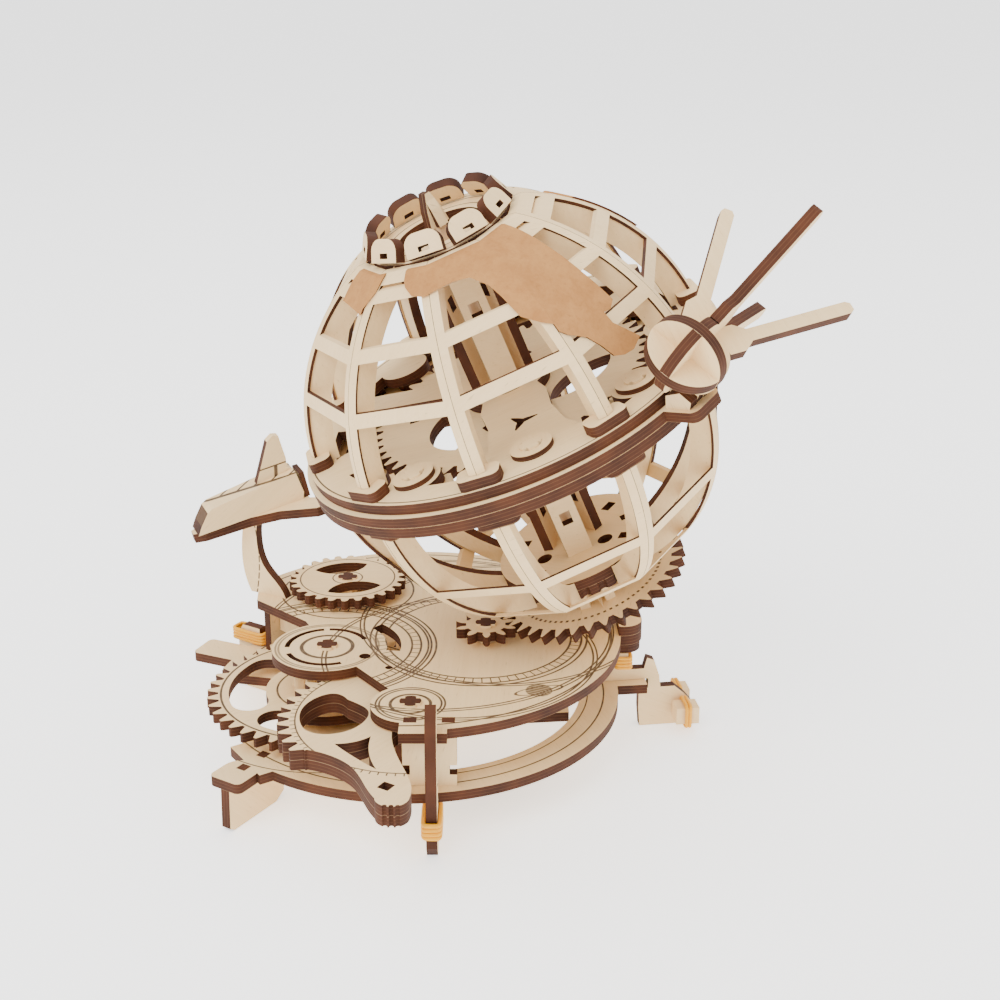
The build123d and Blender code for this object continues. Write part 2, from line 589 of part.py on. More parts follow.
def satellite_parts():
    """The toothed ring, its tongue and the satellite that it carries."""
    spaces = gear_face(RING_TEETH, add=1.15, ded=0.85, thin=-BACKLASH, phase=ring_phase())
    outline = Circle(RING_R) + Rot(0, 0, SATELLITE_AZ) * Pos(73, 0) * RectangleRounded(16, 13, 2.5)
    keep("satellite_ring", ply(outline - spaces, RING_H), GLOBE)
    radius, height = SATELLITE_RH
    plane = GLOBE * Rot(0, 0, SATELLITE_AZ) * Rot(90, 0, 0)
    top = RING_H + PLY
    stem = poly((69.2, top), (77.6, top), (80.2, top + 3), (79.2, top + 6.5), (84, height - 6),
                (75, height - 6), (73.5, top + 8), (70.0, top + 5.5))
    disc = Pos(radius, height) * Circle(SATELLITE_R)
    arm = plane * extrude(disc + stem, PLY / 2, both=True)
    cheek = poly((69.2, top), (78.0, top), (79.4, top + 2.4), (76.5, top + 5.5), (71, top + 4.5))
    cheeks = [plane * Pos(0, 0, side * PLY) * extrude(cheek, PLY / 2, both=True) for side in (-1, 1)]
    keep("satellite_arm", group(arm, *cheeks))
    satellite_discs()


def antenna_profile():
    """One antenna with a shouldered root, along X from the satellite's centre."""
    return poly((SATELLITE_R - 0.6, -4.6), (17, -4.6), (20.5, -2.1), (ANTENNA_L - 1.5, -2.1),
                (ANTENNA_L, -1.2),
                (ANTENNA_L, 1.2), (ANTENNA_L - 1.5, 2.1), (20.5, 2.1), (17, 4.6), (SATELLITE_R - 0.6, 4.6))


def satellite_discs():
    """Two crossed discs with swept-back antennas, cut into halves and quarters round the arm."""
    radius, height = SATELLITE_RH
    centre = GLOBE * Rot(0, 0, SATELLITE_AZ) * Pos(radius, 0, height) * Rot(0, 0, 90)
    antenna = antenna_profile()
    wings = Rot(0, 0, ANTENNA_SPLAY) * antenna + Rot(0, 0, -ANTENNA_SPLAY) * antenna
    plate = extrude(Circle(SATELLITE_R) + wings, PLY / 2, both=True)
    slab = Box(PLY, 60, 60)
    first = Rot(45, 0, 0) * plate - slab
    second = Rot(-45, 0, 0) * plate - slab - Rot(45, 0, 0) * Box(200, 200, PLY)
    keep("satellite_disc_a", centre * first)
    keep("satellite_disc_b", centre * second)


# ---------------------------------------------------------------- globe cage
def rib_profile(centre, start, end_radius, sign):
    """A curved rib in the plane of the axis, from the equator to an end radius."""
    inner_end = degrees(acos(end_radius / RIB_IN))
    outer_end = degrees(acos(end_radius / RIB_OUT))
    inner_start = degrees(asin(start / RIB_IN))
    outer_start = degrees(asin(start / RIB_OUT))

    def at(radius, latitude):
        x, y = polar(radius, latitude)
        return (x, centre + sign * y)

    outer = ThreePointArc(at(RIB_OUT, outer_start), at(RIB_OUT, 35), at(RIB_OUT, outer_end))
    inner = ThreePointArc(at(RIB_IN, inner_end), at(RIB_IN, 35), at(RIB_IN, inner_start))
    tip = Line(at(RIB_OUT, outer_end), at(RIB_IN, inner_end))
    foot = Line(at(RIB_IN, inner_start), at(RIB_OUT, outer_start))
    return make_face(outer + tip + inner + foot)


def radial_sheet(sketch, thickness=PLY):
    """A sheet in the plane of the axis, drawn with X outward and Y along the axis."""
    return Rot(90, 0, 0) * extrude(sketch, thickness / 2, both=True)


def rib_parts():
    """Ten ribs above and ten below, with the clips that hold their feet."""
    north = radial_sheet(rib_profile(NORTH_H, NORTH_TOP_H - NORTH_H, CAP_R, 1))
    south = radial_sheet(rib_profile(SOUTH_H, SOUTH_H - SOUTH_PLATE_H, DISC_R, -1))
    azimuths = rib_azimuths()
    keep("north_ribs", around(north, azimuths), GLOBE)
    keep("south_ribs", around(south, azimuths), GLOBE)
    clip = RectangleRounded(7.4, 13, 2.4)
    north_clip = Pos(63.2, 0, NORTH_TOP_H) * extrude(clip, PLY) - north
    south_clip = Pos(63.2, 0, SOUTH_PLATE_H - PLY) * extrude(clip, PLY) - south
    keep("rib_clips", group(around(north_clip, azimuths), around(south_clip, azimuths)), GLOBE)


def facet(r_in, r_out, centre, sign, low, high, half=180 / RIBS, seam=0.08):
    """One flat-across skin panel between two ribs, curved only along the meridian."""
    flat = cos(radians(half))
    shell = Ellipse(r_out * flat, r_out) - Ellipse(r_in * flat, r_in)
    bottom, top = r_out * sin(radians(low)), r_out * sin(radians(high))
    shell &= Pos(r_out / 2, (bottom + top) / 2) * Rectangle(r_out, top - bottom)
    if sign < 0:
        shell = mirror(shell, Plane.XZ)
    shell = Pos(0, centre) * shell
    solid = Rot(90, 0, 0) * extrude(shell, 40, both=True)
    reach = 2 * r_out
    wide = reach * tan(radians(half)) - seam
    wedge = extrude(poly((seam / tan(radians(half)), 0), (reach, -wide), (reach, wide)), 200, both=True)
    return solid & wedge


def side_curve(radius, latitude, inset, half=180 / RIBS):
    """Half-width and height of a skin panel at a latitude, less an inset from the seam."""
    across = radius * cos(radians(latitude)) * sin(radians(half)) - inset
    return max(across, 0.2), radius * sin(radians(latitude))


def window(low, high, centre, sign, inset=STRIP):
    """A radial cutter for the opening between two parallels and two seam strips."""
    middle = (low + high) / 2
    (x1, y1), (x2, y2), (x3, y3) = [side_curve(GLOBE_R, lat, inset) for lat in (low, middle, high)]
    edge = ThreePointArc((x1, y1), (x2, y2), (x3, y3)) + Line((x3, y3), (-x3, y3))
    edge += ThreePointArc((-x3, y3), (-x2, y2), (-x1, y1)) + Line((-x1, y1), (x1, y1))
    outline = make_face(edge)
    if sign < 0:
        outline = mirror(outline, Plane.XZ)
    return Rot(0, 0, 90) * Rot(90, 0, 0) * extrude(Pos(0, centre) * outline, 80)


def skin_panel(rows, centre, sign, low, high):
    """A skin panel with its windows cut out."""
    panel_solid = facet(GLOBE_R - SHEET, GLOBE_R, centre, sign, low, high)
    for row_low, row_high in rows:
        panel_solid -= window(row_low, row_high, centre, sign)
    return panel_solid


NORTH_PARALLELS = (26.5, 42.7, 58.5)
SOUTH_PARALLELS = (26.5,)


def window_rows(parallels, first, last):
    """Latitude spans of the openings between the parallels."""
    edges = [first]
    for parallel in parallels:
        edges += [parallel - BAND / 2, parallel + BAND / 2]
    edges.append(last)
    return list(zip(edges[0::2], edges[1::2]))


def panel_azimuths():
    return [RIB_AZ + 360 / RIBS * (k + 0.5) for k in range(RIBS)]


def skin_parts():
    """The two halves of the skin."""
    low = degrees(asin((NORTH_TOP_H + PLY - NORTH_H + 0.1) / GLOBE_R))
    rows = window_rows(NORTH_PARALLELS, 1.0, LAST_NORTH - 4)
    north = skin_panel(rows, NORTH_H, 1, low, LAST_NORTH)
    keep("north_skin", around(north, panel_azimuths()), GLOBE)
    low = degrees(asin((SOUTH_H - SOUTH_PLATE_H + PLY + 0.1) / GLOBE_R))
    rows = window_rows(SOUTH_PARALLELS, -6.0, LAST_SOUTH - BAND)
    south = skin_panel(rows, SOUTH_H, -1, low, LAST_SOUTH)
    keep("south_skin", around(south, panel_azimuths()), GLOBE)


# Land outlines: for each skin panel, points as (share of the half width, latitude).
LANDS = [
    (9, [(-0.45, 66), (-0.45, 62.5), (-0.3, 56.5), (0.1, 56), (1, 54.5), (1, 66)]),
    (0, [(-1, 66), (-1, 54.5), (-0.78, 61), (-0.7, 66)]),
    (0, [(0.2, 66), (0.2, 62.5), (0.27, 60.5), (0.5, 57.5), (0.87, 56.5), (1, 57), (1, 66)]),
    (1, [(-1, 66), (-1, 57), (-0.35, 57.5), (0.1, 56.5), (0.4, 52), (0.5, 47.5), (0.6, 40.5), (0.85, 37),
         (1, 34.5), (1, 66)]),
    (2, [(-1, 66), (-1, 34.5), (-0.9, 31), (-0.62, 27.5), (-0.48, 23.5), (-0.38, 19.5), (-0.2, 18),
         (0, 17.5), (0.23, 19), (0.1, 22.5), (-0.04, 26), (-0.05, 29.5), (0.1, 29), (0.26, 30.5),
         (0.22, 41), (0.24, 61), (0.2, 66)]),
    (4, [(-1, 51), (-1, 33), (-0.55, 30), (-0.1, 36), (-0.3, 44), (-0.1, 52), (-0.5, 58)]),
    (6, [(-0.6, 55), (-0.8, 40), (-0.1, 30), (0.5, 36), (0.9, 48), (0.3, 58)]),
    (7, [(-0.4, 60), (-1, 48), (-0.6, 36), (0.3, 32), (0.7, 45), (0.2, 58)]),
]


def land_piece(outline):
    """A piece of land lying on one skin panel."""
    shell = facet(GLOBE_R + 0.02, GLOBE_R + 0.02 + LAND, NORTH_H, 1, 5, LAST_NORTH, seam=0.0)
    half = sin(radians(180 / RIBS))
    points = []
    for share, latitude in outline:
        across = GLOBE_R * cos(radians(latitude)) * half
        past = 1.5 if abs(share) == 1 else 0
        points.append((share * (across + past), NORTH_H + GLOBE_R * sin(radians(latitude))))
    cutter = Rot(0, 0, 90) * Rot(90, 0, 0) * extrude(poly(*points), 80)
    return shell & cutter


def land_parts():
    """The land sheets."""
    azimuths = panel_azimuths()
    pieces = [Rot(0, 0, azimuths[k]) * land_piece(outline) for k, outline in LANDS]
    keep("land_sheets", group(*pieces), GLOBE)


def pole_parts():
    """The cap ring, the star that bears on the mast, and the ten keys on the cap."""
    keep("pole_cap", ply(Circle(CAP_R) - Circle(13.5), CAP_H), GLOBE)
    star = Circle(CAP_R) - Circle(15.5) + Circle(5.5)
    for k in range(5):
        star += Rot(0, 0, 72 * k + 8) * Pos(10.5, 0) * Rectangle(13, 4.6)
    keep("pole_star", ply(star - Circle(MAST_R + RUN), CAP_H - PLY), GLOBE)
    arch = RectangleRounded(11.2, 10.4, 3.8) & Pos(0, 2.0) * Rectangle(12, 7.6)
    key = extrude(arch - Pos(0, 0.2) * Rectangle(3.4, 1.6), PLY / 2, both=True)
    place = Pos(21.6, 0, 65.2) * Rot(0, KEY_LEAN, 0) * Rot(0, 0, 90)
    keep("pole_keys", around(place * key, rib_azimuths()), GLOBE)


STRIP_R = 8.0
STRIP_AZ = (80, 200, 320)


def inner_strips(low, high, hole):
    """Three strips round the mast between two plates, each with a square hole."""
    strip = Pos(STRIP_R, 0, (low + high) / 2) * Box(PLY, 8.6, high - low)
    strip -= Pos(STRIP_R, 0, hole) * Box(2 * PLY, 3.6, 4.6)
    return around(strip, STRIP_AZ)


def south_parts():
    """The toothed disc, its hub, the pegs, the pointer and the tilted gear."""
    upper = inner_strips(NORTH_TOP_H, CAP_H - PLY, 38)
    keep("mast_strips", group(upper, inner_strips(DISC_H, SOUTH_PLATE_H, -40)), GLOBE)
    teeth = 28
    disc = Circle(DISC_R) - Circle(MAST_R + RUN)
    notches = [Pos(*polar(DISC_R + 0.3, 360 * (k + 0.5) / teeth)) * Circle(1.5) for k in range(teeth)]
    lower = disc - sum(notches[1:], notches[0])
    for azimuth in rib_azimuths():
        disc -= Rot(0, 0, azimuth) * Pos(19.2, 0) * Rectangle(4.6, PLY)
    for azimuth in (8, 128, 248):
        disc -= Rot(0, 0, azimuth) * Pos(12.2, 0) * Circle(2.6)
    keep("rib_disc", ply(disc, DISC_H - PLY), GLOBE)
    keep("toothed_disc", ply(lower, DISC_H - 2 * PLY), GLOBE)
    gear_top = TILTED_H + PLY
    hub = Circle(10.5) - Circle(MAST_R + RUN)
    keep("gear_hub", Pos(0, 0, gear_top) * extrude(hub, DISC_H - 2 * PLY - gear_top), GLOBE)
    peg = Pos(18, 0, (gear_top + DISC_H - 2 * PLY) / 2) * Box(PLY, PLY, DISC_H - 2 * PLY - gear_top)
    keep("hub_pegs", around(peg, (62, 88, 152, 242, 268, 332)), GLOBE)
    pointer = poly(polar(10.6, 70), polar(10.6, 86), polar(22.5, 78))
    keep("gear_pointer", ply(pointer, gear_top, 1.6), GLOBE)
    gear = gear_face(TILTED_TEETH, add=0.72, ded=1.5, thin=1.0, phase=180 / TILTED_TEETH)
    keep("tilted_gear", ply(gear - Circle(MAST_R + RUN), TILTED_H), GLOBE)


# ---------------------------------------------------------------- shuttle
STAND_FOOT = (-51.2, 30.9)
STAND_AZ = -28.0
STAND_TOP = (-57.3, 34.1, DIAL_TOP + 28.4)
SHUTTLE_AZ = 22.0
SHUTTLE_PITCH = -13.0


def stand_profile():
    """The curved stand: a crescent arm rising from a foot; X runs along its plane."""
    outer = Spline((-8, 0), (-11.2, 12), (-10.6, 22), (-9.3, 29.6))
    inner = Spline((-3.2, 29.6), (-4.6, 20), (-2.2, 11), (4.8, 3.4), (6.6, 0))
    return make_face(outer + Line((-9.3, 29.6), (-3.2, 29.6)) + inner + Line((6.6, 0), (-8, 0)))


def wing_outline():
    """The delta wing plate, nose towards -X."""
    half = [(-21.8, 1.8), (-18, 3.6), (-2, 5.0), (8, 8.2), (19.5, 16.5), (22.5, 16.5), (22.5, 8), (20, 6)]
    return poly(*half, *[(x, -y) for x, y in reversed(half)])


def fuselage_outline(fin):
    """Side outline of the fuselage, with or without the tail fin."""
    nose = [(-20.5, PLY / 2), (-18.6, 4.6), (-15.2, 8.6), (-13.2, 9.6), (4.2, 11.2)]
    tail = [(11.8, 24.8), (14.2, 26.2), (16.2, 25.6), (16.6, 17), (16.0, 13.6)] if fin else []
    return poly(*nose, *tail, (17.8, 12.4), (18.8, 4.0), (18.0, PLY / 2))


def shuttle_parts():
    """A small delta-winged shuttle on a curved stand."""
    profile = Pos(0, DIAL_TOP) * stand_profile()
    keep("shuttle_stand", panel(profile, STAND_FOOT, STAND_AZ) - shuttle_clearance())
    place = Pos(*STAND_TOP) * Rot(0, 0, SHUTTLE_AZ) * Rot(0, SHUTTLE_PITCH, 0)
    keep("shuttle_wing", place * extrude(wing_outline(), PLY / 2, both=True))
    centre = Rot(90, 0, 0) * extrude(fuselage_outline(True), PLY / 2, both=True)
    cheek = Rot(90, 0, 0) * extrude(fuselage_outline(False), PLY / 2, both=True)
    cheeks = [place * Pos(0, side * PLY, 0) * cheek for side in (-1, 1)]
    keep("shuttle_body", group(place * centre, *cheeks))
    engines = Pos(19.8, 0, 6.4) * Box(1.9, 9, 9.2)
    keep("shuttle_engines", place * engines)


def shuttle_clearance():
    """The space above the wing plate's underside, taken off the stand's top."""
    place = Pos(*STAND_TOP) * Rot(0, 0, SHUTTLE_AZ) * Rot(0, SHUTTLE_PITCH, 0)
    return place * Pos(0, 0, 20 - PLY / 2) * Box(60, 60, 40)


# ---------------------------------------------------------------- build
def build():
    base_parts()
    gear_parts()
    mast_parts()
    equator_parts()
    satellite_parts()
    rib_parts()
    skin_parts()
    land_parts()
    pole_parts()
    south_parts()
    shuttle_parts()


build()
boxes = [shape.bounding_box() for shape in parts.values()]
low = [min(getattr(b.min, axis) for b in boxes) for axis in "XYZ"]
high = [max(getattr(b.max, axis) for b in boxes) for axis in "XYZ"]
SHIFT = (-(low[0] + high[0]) / 2, -(low[1] + high[1]) / 2, -low[2])
os.makedirs("parts", exist_ok=True)
for name, shape in parts.items():
    export_step(Pos(*SHIFT) * shape, f"parts/{name}.step")
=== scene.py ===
import json
import math
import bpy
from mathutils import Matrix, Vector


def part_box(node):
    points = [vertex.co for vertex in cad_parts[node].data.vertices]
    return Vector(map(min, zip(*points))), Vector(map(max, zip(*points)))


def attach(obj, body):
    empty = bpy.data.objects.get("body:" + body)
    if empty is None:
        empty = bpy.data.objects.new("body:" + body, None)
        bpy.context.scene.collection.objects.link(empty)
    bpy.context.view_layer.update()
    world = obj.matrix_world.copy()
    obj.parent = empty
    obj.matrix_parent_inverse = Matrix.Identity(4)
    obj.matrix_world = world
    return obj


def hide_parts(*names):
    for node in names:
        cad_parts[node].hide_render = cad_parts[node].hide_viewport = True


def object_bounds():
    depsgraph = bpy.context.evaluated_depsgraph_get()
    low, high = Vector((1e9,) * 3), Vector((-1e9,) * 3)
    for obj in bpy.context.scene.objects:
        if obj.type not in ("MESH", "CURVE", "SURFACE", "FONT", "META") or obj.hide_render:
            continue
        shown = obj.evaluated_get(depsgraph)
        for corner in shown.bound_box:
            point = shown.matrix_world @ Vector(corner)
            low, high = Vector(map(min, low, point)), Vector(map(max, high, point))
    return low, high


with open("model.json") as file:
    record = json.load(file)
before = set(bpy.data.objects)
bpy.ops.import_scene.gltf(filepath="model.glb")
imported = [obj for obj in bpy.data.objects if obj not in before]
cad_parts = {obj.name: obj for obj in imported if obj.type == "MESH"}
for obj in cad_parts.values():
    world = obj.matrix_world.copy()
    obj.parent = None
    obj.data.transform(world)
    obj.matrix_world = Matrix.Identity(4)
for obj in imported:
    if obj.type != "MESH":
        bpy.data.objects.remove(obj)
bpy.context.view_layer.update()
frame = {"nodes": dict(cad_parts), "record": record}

import zlib

import bmesh
import bpy
from mathutils import Vector

record = frame["record"]
joints = {j["name"]: j for j in record["behaviour"]["joints"]}

# ---------------------------------------------------------------- places
# Lengths in metres. The base frame has its origin at the centre of the round base plate.
CENTRE = Vector(joints["globe_spin"]["pos_m"])
AXIS = Vector(joints["globe_spin"]["axis"]).normalized()
SHIFT = CENTRE - Vector((0.03393, -0.00331, 0.12068))
SIDE = Vector(joints["side_spin"]["pos_m"])
MOON = Vector(joints["moon_spin"]["pos_m"])
LEVER = Vector(joints["lever_swing"]["pos_m"])
PLY = 0.0034
DOWNHILL = (Vector((0, 0, -1)) - AXIS * Vector((0, 0, -1)).dot(AXIS)).normalized()


def at(x, y, z=0.0):
    """A point of the base frame, given in millimetres."""
    return SHIFT + Vector((x, y, z)) / 1000


# ---------------------------------------------------------------- node arithmetic
class Num:
    """A number socket that can be written as arithmetic."""

    def __init__(self, net, socket):
        self.net = net
        self.socket = socket

    def _op(self, operation, *others, clamp=False):
        return self.net.math(operation, self, *others, clamp=clamp)

    def __add__(self, other):
        return self._op("ADD", other)

    def __sub__(self, other):
        return self._op("SUBTRACT", other)

    def __mul__(self, other):
        return self._op("MULTIPLY", other)

    def __truediv__(self, other):
        return self._op("DIVIDE", other)

    def abs(self):
        return self._op("ABSOLUTE")

    def most(self, other):
        return self._op("MAXIMUM", other)

    def least(self, other):
        return self._op("MINIMUM", other)

    def fract(self):
        return self._op("FRACT")

    def clamp(self):
        return self._op("ADD", 0.0, clamp=True)

    def invert(self):
        return self.net.math("SUBTRACT", 1.0, self)

    def step(self, low, high):
        """0 below low, 1 above high, smooth between."""
        return self.net.smooth(self, low, high)

    def line(self, centre, width, soft=0.00012):
        """1 on a line of that width round the centre value, 0 elsewhere."""
        away = (self - centre).abs()
        return away.step(width * 0.72 + soft, width * 0.56)


class Net:
    """A material's node tree."""

    def __init__(self, name):
        self.material = bpy.data.materials.new(name)
        self.material.use_nodes = True
        self.tree = self.material.node_tree
        self.tree.nodes.clear()
        self.out = self.tree.nodes.new("ShaderNodeOutputMaterial")
        self.bsdf = self.tree.nodes.new("ShaderNodeBsdfPrincipled")
        self.tree.links.new(self.bsdf.outputs[0], self.out.inputs[0])
        coords = self.tree.nodes.new("ShaderNodeTexCoord")
        self.place = coords.outputs["Object"]
        self.normal = coords.outputs["Normal"]

    def feed(self, value, socket):
        if isinstance(value, Num):
            self.tree.links.new(value.socket, socket)
        elif hasattr(value, "is_output"):
            self.tree.links.new(value, socket)
        else:
            socket.default_value = value

    def math(self, operation, *values, clamp=False):
        node = self.tree.nodes.new("ShaderNodeMath")
        node.operation = operation
        node.use_clamp = clamp
        for value, socket in zip(values, node.inputs):
            self.feed(value, socket)
        return Num(self, node.outputs[0])

    def vector(self, operation, *values):
        node = self.tree.nodes.new("ShaderNodeVectorMath")
        node.operation = operation
        for value, socket in zip(values, node.inputs):
            self.feed(tuple(value) if isinstance(value, Vector) else value, socket)
        return node

    def dot(self, a, b):
        return Num(self, self.vector("DOT_PRODUCT", a, b).outputs["Value"])

    def length(self, a):
        return Num(self, self.vector("LENGTH", a).outputs["Value"])

    def smooth(self, value, low, high):
        node = self.tree.nodes.new("ShaderNodeMapRange")
        node.interpolation_type = "SMOOTHSTEP"
        rising = low < high
        self.feed(value, node.inputs["Value"])
        node.inputs["From Min"].default_value = min(low, high)
        node.inputs["From Max"].default_value = max(low, high)
        node.inputs["To Min"].default_value = 0.0 if rising else 1.0
        node.inputs["To Max"].default_value = 1.0 if rising else 0.0
        return Num(self, node.outputs["Result"])

    def combine(self, x, y, z):
        node = self.tree.nodes.new("ShaderNodeCombineXYZ")
        for value, socket in zip((x, y, z), node.inputs):
            self.feed(value, socket)
        return node.outputs[0]

    def noise(self, where, scale, detail=4.0, rough=0.55, distort=0.0):
        node = self.tree.nodes.new("ShaderNodeTexNoise")
        self.feed(where, node.inputs["Vector"])
        node.inputs["Scale"].default_value = scale
        node.inputs["Detail"].default_value = detail
        node.inputs["Roughness"].default_value = rough
        node.inputs["Distortion"].default_value = distort
        return Num(self, node.outputs["Fac"])

    def mix(self, amount, a, b):
        node = self.tree.nodes.new("ShaderNodeMix")
        node.data_type = "RGBA"
        self.feed(amount, node.inputs[0])
        for value, socket in ((a, node.inputs[6]), (b, node.inputs[7])):
            self.feed((*value, 1.0) if isinstance(value, tuple) else value, socket)
        return node.outputs[2]

    def bump(self, height, distance, strength=1.0):
        node = self.tree.nodes.new("ShaderNodeBump")
        node.inputs["Strength"].default_value = strength
        node.inputs["Distance"].default_value = distance
        self.feed(height, node.inputs["Height"])
        self.tree.links.new(node.outputs[0], self.bsdf.inputs["Normal"])

    def radius_from(self, centre):
        """Horizontal distance from an upright axis."""
        flat = self.vector("MULTIPLY", self.place, (1.0, 1.0, 0.0)).outputs[0]
        return self.length(self.vector("SUBTRACT", flat, (centre.x, centre.y, 0.0)).outputs[0])

    def azimuth_from(self, centre):
        """Azimuth in degrees round an upright axis, from -180 to 180."""
        offset = self.vector("SUBTRACT", self.place, tuple(centre)).outputs[0]
        split = self.tree.nodes.new("ShaderNodeSeparateXYZ")
        self.feed(offset, split.inputs[0])
        angle = self.math("ARCTAN2", Num(self, split.outputs[1]), Num(self, split.outputs[0]))
        return angle * (180 / math.pi)


# ---------------------------------------------------------------- plywood
BIRCH_LIGHT = (0.840, 0.620, 0.340)
BIRCH_DARK = (0.660, 0.430, 0.190)
SCORCH = (0.034, 0.009, 0.003)
EMBER = (0.105, 0.030, 0.009)
CORE = (0.30, 0.150, 0.062)
ENGRAVED = (0.040, 0.015, 0.005)


def flat_directions(polygons):
    """The directions that hold most of some polygons' flat area."""
    found = []
    for normal, area in polygons:
        for entry in found:
            if abs(entry[0].dot(normal)) > 0.985:
                entry[1] += area
                break
        else:
            found.append([normal, area])
    found.sort(key=lambda entry: -entry[1])
    return [n for n, area in found[:5] if area > 0.30 * found[0][1]]


def face_normals(node):
    """The sanded directions of a node. The ends of an axle are cut, so they don't count."""
    polygons = [(p.normal.copy(), p.area) for p in frame["nodes"][node].data.polygons]
    if "axle" in node:
        along = AXIS if "planet" in node else Vector((0, 0, 1))
        polygons = [(n, area) for n, area in polygons if abs(n.dot(along)) < 0.7]
    return flat_directions(polygons)


def separate_plies(node):
    """Centre, face direction, half thickness and reach of each separate ply of a node."""
    mesh = bmesh.new()
    mesh.from_mesh(frame["nodes"][node].data)
    bmesh.ops.remove_doubles(mesh, verts=mesh.verts, dist=1e-6)
    seen = set()
    plies = []
    for start in mesh.faces:
        if start in seen:
            continue
        stack, island = [start], []
        seen.add(start)
        while stack:
            face = stack.pop()
            island.append(face)
            for edge in face.edges:
                for other in edge.link_faces:
                    if other not in seen:
                        seen.add(other)
                        stack.append(other)
        points = [v.co.copy() for face in island for v in face.verts]
        normal = flat_directions([(face.normal.copy(), face.calc_area()) for face in island])[0]
        centre = sum(points, Vector()) / len(points)
        spread = [point.dot(normal) for point in points]
        centre += normal * ((max(spread) + min(spread)) / 2 - centre.dot(normal))
        reach = max((point - centre).length for point in points)
        plies.append((centre, normal, (max(spread) - min(spread)) / 2, reach))
    mesh.free()
    return plies


def ply_faces(net, plies):
    """How far the surface faces along the sheet that the point belongs to."""
    best = face = None
    for centre, normal, half, reach in plies:
        offset = net.vector("SUBTRACT", net.place, tuple(centre)).outputs[0]
        score = (net.dot(offset, normal).abs() - half).most(0.0) + (net.length(offset) - reach).most(0.0)
        here = net.dot(net.normal, normal).abs()
        if best is None:
            best, face = score, here
            continue
        nearer = net.math("LESS_THAN", score, best)
        face = face + (here - face) * nearer
        best = best.least(score)
    return face


def grain(net, normal, name, tone):
    """Sanded birch colour and its fine height, streaked along one direction of the sheet."""
    seed = zlib.crc32(name.encode()) % 628 / 100
    side = normal.cross(Vector((0, 0, 1)) if abs(normal.z) < 0.8 else Vector((0, 1, 0))).normalized()
    along = (side * math.cos(seed) + normal.cross(side) * math.sin(seed)).normalized()
    across = normal.cross(along).normalized()
    u = net.dot(net.place, along)
    v = net.dot(net.place, across)
    w = net.dot(net.place, normal)
    streak = net.noise(net.combine(u * 42.0 + seed, v * 900.0, w * 420.0), 1.0, 5.0, 0.62, 0.25)
    figure = net.noise(net.combine(u * 16.0 + seed, v * 95.0, w * 60.0), 1.0, 3.0, 0.5, 0.8)
    cloud = net.noise(net.place, 26.0, 2.0, 0.5)
    fleck = net.noise(net.combine(u * 240.0, v * 2600.0 + seed, w * 900.0), 1.0, 1.0, 0.4)
    amount = (streak * 0.62 + figure * 0.50 + cloud * 0.35 - 0.50 + tone).clamp()
    colour = net.mix(amount, BIRCH_LIGHT, BIRCH_DARK)
    colour = net.mix(fleck.step(0.67, 0.80) * 0.42, colour, (0.42, 0.27, 0.14))
    return colour, streak * 0.7 + fleck * 0.3


def charred(net, normals, name):
    """A laser-cut edge: near-black with an ember tint, and the sheet's paler plies showing as lines."""
    seed = zlib.crc32(name.encode()) % 97
    rough = net.noise(net.place, 520.0, 3.0, 0.6)
    patch = net.noise(net.place, 75.0 + seed * 0.2, 2.0, 0.5)
    colour = net.mix((patch * 1.6 - 0.45).clamp(), SCORCH, EMBER)
    low = None
    for normal in normals[:1]:
        if isinstance(normal, Vector):
            coords = [v.co.dot(normal) for v in frame["nodes"][name].data.vertices]
            low = net.dot(net.place, normal) - min(coords)
    if low is not None:
        layer = (low / (PLY / 3)).fract()
        seam = (layer - 0.5).abs().step(0.40, 0.48)
        colour = net.mix(seam * (rough * 0.30 + 0.05).clamp(), colour, CORE)
        rim = ((low / PLY).fract() - 0.5).abs().step(0.455, 0.490)
        colour = net.mix(rim * (rough * 0.5 + 0.15).clamp(), colour, (0.42, 0.27, 0.14))
    return colour, rough


